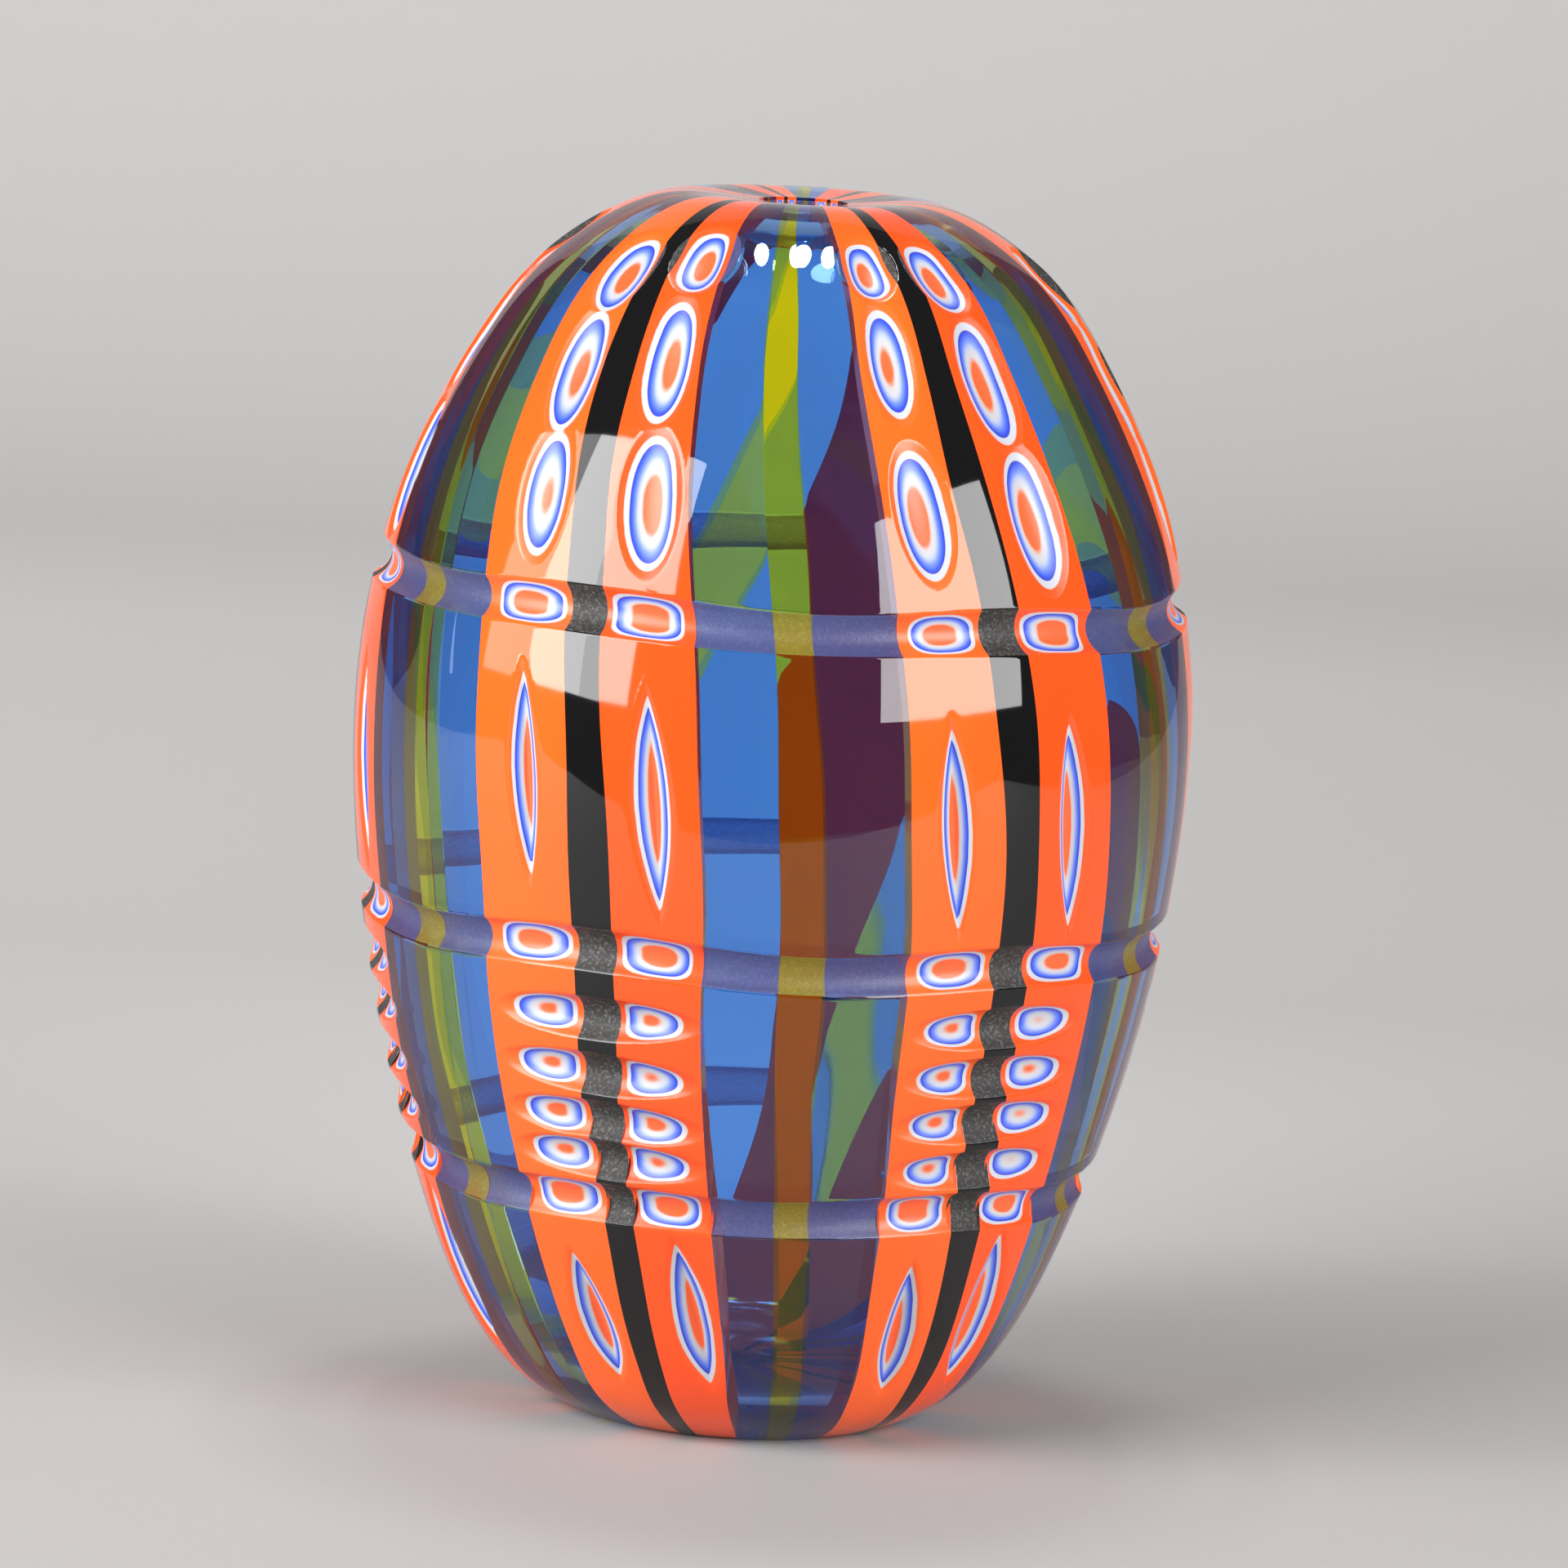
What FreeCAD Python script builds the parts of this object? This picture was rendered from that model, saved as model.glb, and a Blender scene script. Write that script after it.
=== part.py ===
"""Closed ovoid art glass vase: vertical canes fused into one wall, then carved with cutting wheels.

Millimetres, +Z up. The origin is the centre of the flat ground foot. The wall is six equal groups of
six canes (blue, orange, black, orange, blue, yellow), which lean a little as they rise. Each orange
cane is cased: orange skin, white, blue, white and an orange core, and wheel cuts show the layers.
"""

import FreeCAD, Part
import math
import os

Vector = FreeCAD.Vector
Rotation = FreeCAD.Rotation
Placement = FreeCAD.Placement

# ---------------------------------------------------------------- driving dimensions

# Outline of the wall as control points (radius, height), from the foot up to the mouth.
OUTER_POLES = [
    (9.5, -0.4), (20.5, -0.5), (37.0, -0.5), (39.5, 0.5), (52.5, 7.0), (63.5, 23.0), (72.5, 44.0),
    (85.5, 85.0), (92.0, 125.5), (94.5, 164.0), (86.5, 208.0), (68.5, 241.5), (56.5, 259.0),
    (31.0, 274.5), (19.5, 270.5), (9.5, 268.8),
]
INNER_POLES = [
    (9.5, 9.5), (20.0, 9.5), (33.0, 9.5), (45.5, 10.5), (56.0, 23.0), (63.5, 39.0), (71.5, 62.0),
    (79.5, 90.5), (85.5, 125.5), (88.0, 163.0), (80.5, 205.5), (63.5, 237.0), (52.5, 254.0),
    (29.0, 268.0), (20.5, 264.0), (9.5, 262.3),
]

SIZES = {
    "groups": 6,
    "foot_grind": 10.0,
    # Angles of the cane edges in one group at mid height, from the side facing -Y, positive to +X.
    "edge_blue_left": -52.5,
    "edge_orange_left": -41.0,
    "edge_black": -27.5,
    "edge_orange_right": -21.75,
    "edge_blue_right": -9.25,
    "edge_yellow": 1.25,
    # Lean of the canes about the axis, in degrees, at heights that are even steps of twist_step.
    "twist_step": 50.0,
    "twist_foot": 10.0,
    "twist_low": 4.2,
    "twist_waist": 2.2,
    "twist_middle": 0.0,
    "twist_upper": -4.4,
    "twist_shoulder": -8.0,
    "twist_mouth": -12.0,
    # Layers of a cased orange cane: depth below the surface, and share of its width at each side.
    "depth_white": 0.65,
    "depth_blue": 1.0,
    "depth_inner_white": 1.5,
    "depth_core": 2.1,
    "side_white": 0.075,
    "side_blue": 0.115,
    "side_inner_white": 0.165,
    "side_core": 0.25,
    # Ground hoops all round: height, radius of the groove's centre circle and its tube radius.
    "hoop_tube": 5.2,
    "hoop_low_height": 57.7,
    "hoop_low_radius": 79.2,
    "hoop_mid_height": 113.8,
    "hoop_mid_radius": 92.6,
    "hoop_high_height": 187.2,
    "hoop_high_radius": 92.3,
    # Oval eyes above the top hoop, cut by a round-edged wheel.
    "eye_edge": 12.0,
    "eye_low_height": 211.5,
    "eye_low_angle": -38.8,
    "eye_low_surface": 83.0,
    "eye_low_slope": 21.0,
    "eye_low_wheel": 46.0,
    "eye_low_depth": 2.5,
    "eye_mid_height": 240.5,
    "eye_mid_angle": -40.6,
    "eye_mid_surface": 68.8,
    "eye_mid_slope": 33.0,
    "eye_mid_wheel": 46.0,
    "eye_mid_depth": 2.6,
    "eye_high_height": 260.0,
    "eye_high_angle": -42.2,
    "eye_high_surface": 53.2,
    "eye_high_slope": 49.0,
    "eye_high_wheel": 26.0,
    "eye_high_depth": 3.0,
    "eye_pair_step": 18.3,
    # Pointed lenses, cut by a wheel with a V edge: one row at the waist and one above the foot.
    "lens_half_edge": 8.0,
    "lens_mid_height": 147.0,
    "lens_mid_angle": -34.2,
    "lens_mid_surface": 92.9,
    "lens_mid_slope": 0.0,
    "lens_mid_wheel": 170.0,
    "lens_mid_depth": 3.3,
    "lens_mid_lean": -5.5,
    "lens_low_height": 31.0,
    "lens_low_angle": -28.4,
    "lens_low_surface": 66.8,
    "lens_low_slope": -24.0,
    "lens_low_wheel": 120.0,
    "lens_low_depth": 3.6,
    "lens_low_lean": -9.0,
    "lens_pair_step": 18.8,
    # Short level notches across each pair of orange canes, between the two lower hoops.
    "notch_tube": 5.2,
    "notch_length": 90.0,
    "notch_angle": -22.0,
    "notch_depth": 3.4,
    "notch_1_height": 101.0,
    "notch_1_surface": 87.7,
    "notch_2_height": 89.5,
    "notch_2_surface": 85.5,
    "notch_3_height": 78.7,
    "notch_3_surface": 82.8,
    "notch_4_height": 68.7,
    "notch_4_surface": 79.9,
    # Polished button that closes the foot where the canes run together.
    "button_radius": 9.5,
    "button_bottom": 0.8,
    "button_top": 10.5,
    "button_dome": 24.0,
}

TWIST_STATIONS = [
    "twist_foot", "twist_low", "twist_waist", "twist_middle", "twist_upper", "twist_shoulder", "twist_mouth",
]
CANES = ["blue_left", "orange_left", "black", "orange_right", "blue_right", "yellow"]
LAYERS = ["skin", "white", "blue", "inner_white", "core"]
HOOPS = ["low", "mid", "high"]


# A layer moves an outline this way for each millimetre of depth: outer inwards, inner outwards.
LAYER_SIGN = {"outer": 1.0, "inner": -1.0}
ROWS_PER_SPAN = 3
COLUMNS = 2

doc = FreeCAD.newDocument("glass_vase")
sheet = doc.addObject("Spreadsheet::Sheet", "Sizes")


def fill_sheet():
    """Writes every driving dimension to the sheet, with its name beside it and as its alias."""
    cells = dict(SIZES)
    for side, poles in (("outer", OUTER_POLES), ("inner", INNER_POLES)):
        for index, (radius, height) in enumerate(poles):
            cells[f"{side}_radius_{index:02d}"] = radius
            cells[f"{side}_height_{index:02d}"] = height
    for row, (name, value) in enumerate(cells.items(), start=1):
        sheet.set(f"A{row}", name)
        sheet.set(f"B{row}", str(value))
        sheet.setAlias(f"B{row}", name)
    doc.recompute()


def size(name):
    return float(getattr(sheet, name))


def bind(thing, **sizes):
    """Ties properties of an object to cells of the sheet."""
    for prop, expression in sizes.items():
        thing.setExpression(prop.replace("__", "."), expression)


# ---------------------------------------------------------------- leaning canes


def clamped_spline(points):
    spline = Part.BSplineCurve()
    degree = 3
    inner_knots = len(points) - degree + 1
    knots = [float(k) for k in range(inner_knots)]
    repeats = [degree + 1] + [1] * (inner_knots - 2) + [degree + 1]
    spline.buildFromPolesMultsKnots(points, repeats, knots, False, degree)
    return spline


def outline_rows(side, depth):
    """Points (radius, height) down one face of the wall, moved into the glass by depth."""
    count = len(OUTER_POLES if side == "outer" else INNER_POLES)
    poles = [
        Vector(size(f"{side}_radius_{index:02d}"), size(f"{side}_height_{index:02d}"), 0)
        for index in range(count)
    ]
    spline = clamped_spline(poles)
    spans = spline.LastParameter
    rows = []
    for step in range(int(spans) * ROWS_PER_SPAN + 1):
        at = step / ROWS_PER_SPAN
        point, along = spline.value(at), spline.tangent(at)[0]
        inward = Vector(-along.y, along.x, 0) * depth * LAYER_SIGN[side]
        rows.append(point + inward)
    rows[0].x = size(f"{side}_radius_00")
    rows[-1].x = size(f"{side}_radius_00")
    return rows


def twist_curve():
    """Lean of the canes in degrees (y) against height (x), smooth through the stations."""
    heights = [size("twist_step") * k for k in range(len(TWIST_STATIONS))]
    points = [Vector(h, size(name), 0) for h, name in zip(heights, TWIST_STATIONS)]
    curve = Part.BSplineCurve()
    curve.interpolate(Points=points, Parameters=heights)
    return curve


def cane_face(side, depth, start, end, twist):
    """One broad face of a cane: a smooth surface through rows up the wall and columns across."""
    grid = []
    for row in outline_rows(side, depth):
        lean = twist.value(min(max(row.y, 0.0), twist.LastParameter)).y
        line = []
        for column in range(COLUMNS + 1):
            around = math.radians(start + (end - start) * column / COLUMNS + lean - 90.0)
            line.append(Vector(row.x * math.cos(around), row.x * math.sin(around), row.y))
        grid.append(line)
    surface = Part.BSplineSurface()
    surface.interpolate(grid)
    return surface


def cane_solid(depth, start, end):
    """A closed cane between two angles: broad faces outside and inside, ruled faces all round."""
    twist = twist_curve()
    outer = cane_face("outer", depth, start, end, twist)
    inner = cane_face("inner", depth, start, end, twist)
    rims = []
    for surface in (outer, inner):
        first_row, last_row, first_column, last_column = surface.bounds()
        rims.append(
            [
                surface.vIso(first_column),
                surface.vIso(last_column),
                surface.uIso(first_row),
                surface.uIso(last_row),
            ]
        )
    faces = [outer.toShape(), inner.toShape()]
    for outside, inside in zip(*rims):
        faces.append(Part.makeRuledSurface(outside.toShape(), inside.toShape()))
    shell = Part.Shell(faces)
    shell.sewShape()
    solid = Part.makeSolid(shell)
    if solid.Volume < 0:
        solid.reverse()
    return solid


def cane_limits(cane, layer):
    """Start and end angle of a cane at mid height, drawn in at each side for its inner layers."""
    start = size(f"edge_{cane}")
    order = CANES.index(cane) + 1
    if order < len(CANES):
        end = size(f"edge_{CANES[order]}")
    else:
        end = size(f"edge_{CANES[0]}") + 360.0 / size("groups")
    if layer != "skin":
        inset = (end - start) * size(f"side_{layer}")
        start, end = start + inset, end - inset
    return start, end


# ---------------------------------------------------------------- wheel cuts


def wheel_place(angle, height, surface, slope, lean, offset):
    """Frame of a wheel that meets the wall at an angle and height.

    Local X points out of the wall, tipped up by slope. The wheel's axle is local Y, turned by lean.
    """
    turn = Rotation(Vector(0, 0, 1), angle - 90.0)
    tip = Rotation(Vector(0, 1, 0), -slope)
    roll = Rotation(Vector(1, 0, 0), lean)
    whole = turn.multiply(tip).multiply(roll)
    outward = whole.multVec(Vector(1, 0, 0))
    foot = turn.multVec(Vector(surface, 0, 0)) + Vector(0, 0, height)
    return foot + outward * offset, whole


AXLE_TO_Y = Rotation(Vector(1, 0, 0), 90)


def hoop_cut(name):
    ring = doc.addObject("Part::Torus", f"hoop_{name}_cut")
    bind(
        ring,
        Radius1=f"Sizes.hoop_{name}_radius",
        Radius2="Sizes.hoop_tube",
        Placement__Base__z=f"Sizes.hoop_{name}_height",
    )
    return ring


def eye_cut(row, side):
    """Round-edged wheel: the oval eyes of one row, on the left or right orange cane."""
    wheel = doc.addObject("Part::Torus", f"eye_{row}_{side}_cut")
    bind(wheel, Radius1=f"Sizes.eye_{row}_wheel - Sizes.eye_edge", Radius2="Sizes.eye_edge")
    angle = size(f"eye_{row}_angle") + (size("eye_pair_step") if side == "right" else 0.0)
    base, turn = wheel_place(
        angle,
        size(f"eye_{row}_height"),
        size(f"eye_{row}_surface"),
        size(f"eye_{row}_slope"),
        0.0,
        size(f"eye_{row}_wheel") - size(f"eye_{row}_depth"),
    )
    wheel.Placement = Placement(base, turn.multiply(AXLE_TO_Y))
    return wheel


def lens_cut(row, side):
    """Wheel with a V edge, as two cones base to base: the pointed lenses of one row."""
    angle = size(f"lens_{row}_angle") + (size("lens_pair_step") if side == "right" else 0.0)
    base, turn = wheel_place(
        angle,
        size(f"lens_{row}_height"),
        size(f"lens_{row}_surface"),
        size(f"lens_{row}_slope"),
        size(f"lens_{row}_lean"),
        size(f"lens_{row}_wheel") - size(f"lens_{row}_depth"),
    )
    halves = []
    for flank, quarter in (("near", 90), ("far", -90)):
        cone = doc.addObject("Part::Cone", f"lens_{row}_{side}_{flank}")
        bind(
            cone,
            Radius1=f"Sizes.lens_{row}_wheel",
            Radius2=f"Sizes.lens_{row}_wheel - Sizes.lens_half_edge",
            Height="Sizes.lens_half_edge",
        )
        cone.Placement = Placement(base, turn.multiply(Rotation(Vector(1, 0, 0), quarter)))
        halves.append(cone)
    wheel = doc.addObject("Part::Fuse", f"lens_{row}_{side}_cut")
    wheel.Base, wheel.Tool = halves
    return wheel


def notch_cut(number):
    """Straight level notch across both orange canes and the black one between them."""
    bar = doc.addObject("Part::Cylinder", f"notch_{number}_cut")
    bind(bar, Radius="Sizes.notch_tube", Height="Sizes.notch_length")
    turn = Rotation(Vector(0, 0, 1), size("notch_angle") - 90.0)
    reach = size(f"notch_{number}_surface") - size("notch_depth") + size("notch_tube")
    base = turn.multVec(Vector(reach, size("notch_length") / 2, 0))
    base.z = size(f"notch_{number}_height")
    bar.Placement = Placement(base, turn.multiply(AXLE_TO_Y))
    return bar


def all_cuts():
    cuts = {"grinding": [foot_grinding()], "hoops": [hoop_cut(name) for name in HOOPS]}
    for side in ("left", "right"):
        for row in ("low", "mid", "high"):
            cuts[f"eye_{row}_{side}"] = [eye_cut(row, side)]
        for row in ("low", "mid"):
            cuts[f"lens_{row}_{side}"] = [lens_cut(row, side)]
    cuts["notches"] = [notch_cut(number) for number in (1, 2, 3, 4)]
    return cuts


# Wheel cuts that reach each cane. The top eyes are wide enough to scallop the canes beside them.
LEFT_EYES = ["eye_low_left", "eye_mid_left", "eye_high_left"]
RIGHT_EYES = ["eye_low_right", "eye_mid_right", "eye_high_right"]
REACHED_BY = {
    "blue_left": ["hoops"],
    "orange_left": ["hoops", "notches", *LEFT_EYES, "lens_low_left", "lens_mid_left"],
    "black": ["hoops", "notches", "eye_high_left", "eye_high_right"],
    "orange_right": ["hoops", "notches", *RIGHT_EYES, "lens_low_right", "lens_mid_right"],
    "blue_right": ["hoops", "eye_high_right"],
    "yellow": ["hoops"],
}


def cut_away(label, base, tools):
    """Cuts one object by several others, one after another."""
    for number, tool in enumerate(tools):
        cut = doc.addObject("Part::Cut", f"{label}_step_{number}")
        cut.Base, cut.Tool = base, tool
        base = cut
    return base


# ---------------------------------------------------------------- pieces


def layer_blank(cane, layer):
    """One layer of a cane, still solid inside and not yet carved."""
    depth = 0.0 if layer == "skin" else size(f"depth_{layer}")
    blank = doc.addObject("Part::Feature", f"{cane}_{layer}_blank")
    blank.Shape = cane_solid(depth, *cane_limits(cane, layer))
    return blank


def foot_grinding():
    """Block of everything below the flat ground foot."""
    block = doc.addObject("Part::Box", "foot_grinding")
    side = "3 * Sizes.outer_radius_03"
    bind(
        block,
        Length=side,
        Width=side,
        Height="Sizes.foot_grind",
        Placement__Base__x=f"-({side}) / 2",
        Placement__Base__y=f"-({side}) / 2",
        Placement__Base__z="-Sizes.foot_grind",
    )
    return block


def carved_layers(cane, layers, cuts):
    """The nested layers of one cane of the first group, hollowed for each other and carved."""
    blanks = [layer_blank(cane, layer) for layer in layers]
    tools = [tool for name in REACHED_BY[cane] for tool in cuts[name]]
    pieces = {}
    for order, layer in enumerate(layers):
        inside = blanks[order + 1 : order + 2]
        ground = cuts["grinding"] if layer == "skin" else []
        pieces[layer] = cut_away(f"{cane}_{layer}", blanks[order], inside + ground + tools)
    return pieces


def place_copies(label, links):
    """The same pieces in every group: one sub-part per group, turned about the axis."""
    copies = []
    for group in range(int(size("groups"))):
        copy = doc.addObject("Part::Compound", f"{label}_{group + 1}")
        copy.Links = links
        copy.Placement = Placement(Vector(0, 0, 0), Rotation(Vector(0, 0, 1), 0.0))
        bind(copy, Placement__Rotation__Angle=f"{group} * 360 / Sizes.groups")
        copies.append(copy)
    return copies


def base_button():
    """Plug of clear glass in the foot, with a domed top inside the vase."""
    stem = doc.addObject("Part::Cylinder", "button_stem")
    bind(
        stem,
        Radius="Sizes.button_radius",
        Height="Sizes.button_top - Sizes.button_bottom",
        Placement__Base__z="Sizes.button_bottom",
    )
    dome = doc.addObject("Part::Sphere", "button_dome")
    bind(dome, Radius="Sizes.button_dome", Placement__Base__z="Sizes.button_top - Sizes.button_dome")
    button = doc.addObject("Part::Common", "base_button")
    button.Base, button.Tool = stem, dome
    return button


def build():
    fill_sheet()
    cuts = all_cuts()
    subparts = []
    nested = {layer: [] for layer in LAYERS[1:]}
    for cane in CANES:
        cased = cane.startswith("orange")
        pieces = carved_layers(cane, LAYERS if cased else LAYERS[:1], cuts)
        subparts += place_copies(cane, [pieces["skin"]])
        if cased:
            for layer in nested:
                nested[layer].append(pieces[layer])
    subparts += place_copies("white_casings", nested["white"] + nested["inner_white"])
    subparts += place_copies("blue_casings", nested["blue"])
    subparts += place_copies("orange_cores", nested["core"])
    subparts.append(base_button())
    doc.recompute()
    return subparts


def check(subparts):
    """Stops with an error if any object failed or any sub-part isn't made of valid closed solids."""
    for thing in doc.Objects:
        if {"Invalid", "Error"} & set(thing.State):
            raise RuntimeError(f"{thing.Name} failed: {thing.State}")
    for part in subparts:
        shape = part.Shape
        if shape.isNull() or not shape.isValid() or not shape.Solids:
            raise RuntimeError(f"{part.Label} has no valid solid")


def write_out(subparts):
    os.makedirs("parts", exist_ok=True)
    for part in subparts:
        part.Shape.exportStep(f"parts/{part.Label}.step")
        print(part.Label, "solids", len(part.Shape.Solids), "volume", round(part.Shape.Volume))


all_subparts = build()
check(all_subparts)
write_out(all_subparts)
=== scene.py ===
"""Closed ovoid art glass vase: 36 fused canes with wheel cuts, on a pale studio floor.

Millimetres are used for the design and turned into metres when a mesh is made. Angles are in degrees
about the vase's axis, from the side that faces the camera, positive to +X.
"""

import math

import bpy
import numpy as np
from mathutils import Euler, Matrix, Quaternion


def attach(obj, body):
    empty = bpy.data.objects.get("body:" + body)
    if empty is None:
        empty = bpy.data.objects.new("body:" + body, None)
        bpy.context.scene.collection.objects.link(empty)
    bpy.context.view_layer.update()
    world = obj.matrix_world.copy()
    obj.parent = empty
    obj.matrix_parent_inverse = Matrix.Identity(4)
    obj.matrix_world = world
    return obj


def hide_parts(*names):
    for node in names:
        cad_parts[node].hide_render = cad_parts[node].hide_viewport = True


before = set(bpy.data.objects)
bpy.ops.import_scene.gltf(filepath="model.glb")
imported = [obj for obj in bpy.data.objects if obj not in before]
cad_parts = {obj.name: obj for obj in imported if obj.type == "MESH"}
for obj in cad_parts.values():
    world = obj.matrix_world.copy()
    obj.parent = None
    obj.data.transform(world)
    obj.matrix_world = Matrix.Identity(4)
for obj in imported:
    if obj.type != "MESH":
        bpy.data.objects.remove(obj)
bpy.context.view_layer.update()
MM = 0.001
SEED = 11

# ---------------------------------------------------------------- outline of the wall

# Control points (radius, height) of the clamped cubic outlines, from the foot up to the mouth.
# Both were fitted by least squares. The last two outer points, which lift the edge of the mouth, and the
# third and fourth inner points were then moved.
OUTER_POLES = [
    (9.5, -0.4), (20.5, -0.5), (37.0, -0.5), (39.5, 0.5), (52.5, 7.0), (63.5, 23.0), (72.5, 44.0),
    (85.5, 85.0), (92.0, 125.5), (94.5, 164.0), (86.5, 208.0), (68.5, 241.5), (56.5, 259.0),
    (31.0, 274.5), (19.5, 271.7), (9.8, 271.0),
]
INNER_POLES = [
    (9.5, 9.5), (20.0, 9.5), (33.0, 9.5), (45.5, 10.5), (56.0, 23.0), (63.5, 39.0), (71.5, 62.0),
    (79.5, 90.5), (85.5, 125.5), (88.0, 163.0), (80.5, 205.5), (63.5, 237.0), (52.5, 254.0),
    (29.0, 268.0), (20.5, 264.0), (9.5, 262.3),
]
# Lean of the canes in degrees against height.
TWIST_HEIGHTS = [0, 10, 20, 30, 50, 80, 100, 120, 150, 180, 200, 220, 240, 260, 271]
TWIST_ANGLES = [11.5, 8.5, 7.2, 6.0, 4.2, 2.1, 1.8, 1.45, 0.0, -2.3, -4.1, -6.3, -7.9, -9.2, -11.0]
MOUTH_TWIST = -13.0

# Row spacing along the outline: (up to this height, spacing).
ROW_SPACING = [
    (1.0, 3.0), (13.0, 1.3), (51.0, 0.75), (107.0, 0.45), (109.5, 0.7), (120.0, 0.45), (181.0, 0.75),
    (194.0, 0.45), (269.0, 0.75),
]
TOP_SPACING = 1.2
MOUTH_ROWS = 12
RIM_START = 0.55  # the mouth is ground, so its edge shows the layers from just under the skin
SPLINE_DEGREE = 3
OUTLINE_SAMPLES = 8001


def spline_points(poles, at):
    """Points of a clamped uniform cubic spline at parameters 0 to its number of spans."""
    poles = np.array(poles, float)
    degree = SPLINE_DEGREE
    spans = len(poles) - degree
    knots = np.concatenate([[0.0] * degree, np.arange(spans + 1.0), [float(spans)] * degree])
    at = np.clip(at, 0.0, spans - 1e-9)
    basis = [((knots[i] <= at) & (at < knots[i + 1])).astype(float) for i in range(len(knots) - 1)]
    for order in range(1, degree + 1):
        raised = []
        for i in range(len(basis) - 1):
            total = np.zeros_like(at)
            rise, fall = knots[i + order] - knots[i], knots[i + order + 1] - knots[i + 1]
            if rise > 0:
                total += (at - knots[i]) / rise * basis[i]
            if fall > 0:
                total += (knots[i + order + 1] - at) / fall * basis[i + 1]
            raised.append(total)
        basis = raised
    return sum(basis[i][:, None] * poles[i] for i in range(len(poles)))


def smooth_curve(x, y):
    """A function through the points: cubic Hermite with slopes from the neighbours."""
    x, y = np.array(x, float), np.array(y, float)
    slope = np.gradient(y, x)

    def value(at):
        at = np.clip(at, x[0], x[-1])
        k = np.clip(np.searchsorted(x, at, side="right") - 1, 0, len(x) - 2)
        h = x[k + 1] - x[k]
        f = (at - x[k]) / h
        return (
            (1 + 2 * f) * (1 - f) ** 2 * y[k]
            + f * (1 - f) ** 2 * h * slope[k]
            + f**2 * (3 - 2 * f) * y[k + 1]
            + f**2 * (f - 1) * h * slope[k + 1]
        )

    return value


class Wall:
    """Rows of the wall from the foot to the mouth, with everything that depends only on the row."""

    def __init__(self):
        spans = len(OUTER_POLES) - SPLINE_DEGREE
        fine = np.linspace(0.0, spans, OUTLINE_SAMPLES)
        outer = spline_points(OUTER_POLES, fine)
        crest = int(np.argmax(outer[:, 1]))
        step = np.linalg.norm(np.diff(outer, axis=0), axis=1)
        arc = np.concatenate([[0.0], np.cumsum(step)])
        spacing = np.full(len(fine), TOP_SPACING)
        for height, gap in reversed(ROW_SPACING):
            spacing[:crest][outer[:crest, 1] < height] = gap
        count = np.concatenate([[0.0], np.cumsum(step / spacing[1:])])
        rows = int(math.ceil(count[-1]))
        at = np.interp(np.linspace(0.0, count[-1], rows + 1), count, fine)
        self.arc = np.interp(at, fine, arc)
        self.outer = spline_points(OUTER_POLES, at)
        self.inner = spline_points(INNER_POLES, at)
        self.outer[:, 1] = np.maximum(self.outer[:, 1], 0.0)
        along = np.gradient(self.outer, self.arc, axis=0)
        along /= np.linalg.norm(along, axis=1)[:, None]
        self.normal = np.stack([along[:, 1], -along[:, 0]], axis=1)
        crest_row = int(np.argmax(self.outer[:, 1]))
        lean = smooth_curve(TWIST_HEIGHTS, TWIST_ANGLES)(self.outer[:, 1])
        past = np.clip((np.arange(rows + 1) - crest_row) / (rows - crest_row), 0.0, 1.0)
        self.twist = np.where(past > 0, TWIST_ANGLES[-1] + (MOUTH_TWIST - TWIST_ANGLES[-1]) * past, lean)
        self.arc_of = lambda height: float(
            np.interp(height, self.outer[: crest_row + 1, 1], self.arc[: crest_row + 1])
        )
        self.rows = rows + 1


wall = Wall()

# ---------------------------------------------------------------- canes

KINDS = ["blue_left", "orange_left", "black", "orange_right", "blue_right", "yellow"]
# Angle at mid height where each cane starts, and how much of the lean it follows.
EDGES = [
    [(-52.6, 1.0), (-42.3, 1.0), (-27.5, 1.0), (-21.8, 0.97), (-8.9, 0.98), (1.8, 0.86)],
    [(7.7, 0.88), (19.6, 0.92), (32.9, 1.1), (38.9, 1.1), (52.9, 1.2), (63.4, 1.15)],
    [(69.4, 1.1), (80.6, 1.1), (94.0, 1.05), (99.8, 1.0), (112.6, 1.0), (123.0, 1.0)],
    [(130.5, 1.0), (142.5, 1.0), (156.0, 1.0), (161.5, 1.0), (178.1, 1.0), (188.3, 1.0)],
    [(193.6, 1.0), (203.0, 1.0), (214.8, 1.0), (219.5, 1.0), (232.0, 1.0), (242.4, 1.0)],
    [(248.3, 1.0), (259.5, 1.0), (272.6, 1.0), (278.4, 1.0), (291.0, 1.0), (301.5, 1.0)],
]
RIB_RADIUS = 140.0  # each cane bulges a little into the vase, so the clear ones act as lenses
# Share of the lean that each group follows below mid height.
LOW_LEAN = [1.0, 1.0, 0.75, 0.45, 0.6, 0.85]
# Columns of faces across the outside and the inside of a cane.
COLUMNS = {"blue": (18, 18), "orange": (36, 9), "black": (12, 4), "yellow": (10, 10)}
# Waver of the edges between canes: degrees, mm along the wall for a radian, share of the phase.
EDGE_WAVERS = [(0.22, 21.0, 1.0), (0.14, 8.3, 2.1)]
EDGE_FADE = 60.0  # the waver grows over this many mm from the foot


def cane_list():
    """(group, kind, start, end) of every cane, where start and end are (angle, lean share)."""
    starts = [
        (g, kind, (*edge, LOW_LEAN[g])) for g, row in enumerate(EDGES) for kind, edge in zip(KINDS, row)
    ]
    first = starts[0][2]
    ends = [s[2] for s in starts[1:]] + [(first[0] + 360.0, *first[1:])]
    return [(g, kind, start, end) for (g, kind, start), end in zip(starts, ends)]


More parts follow.
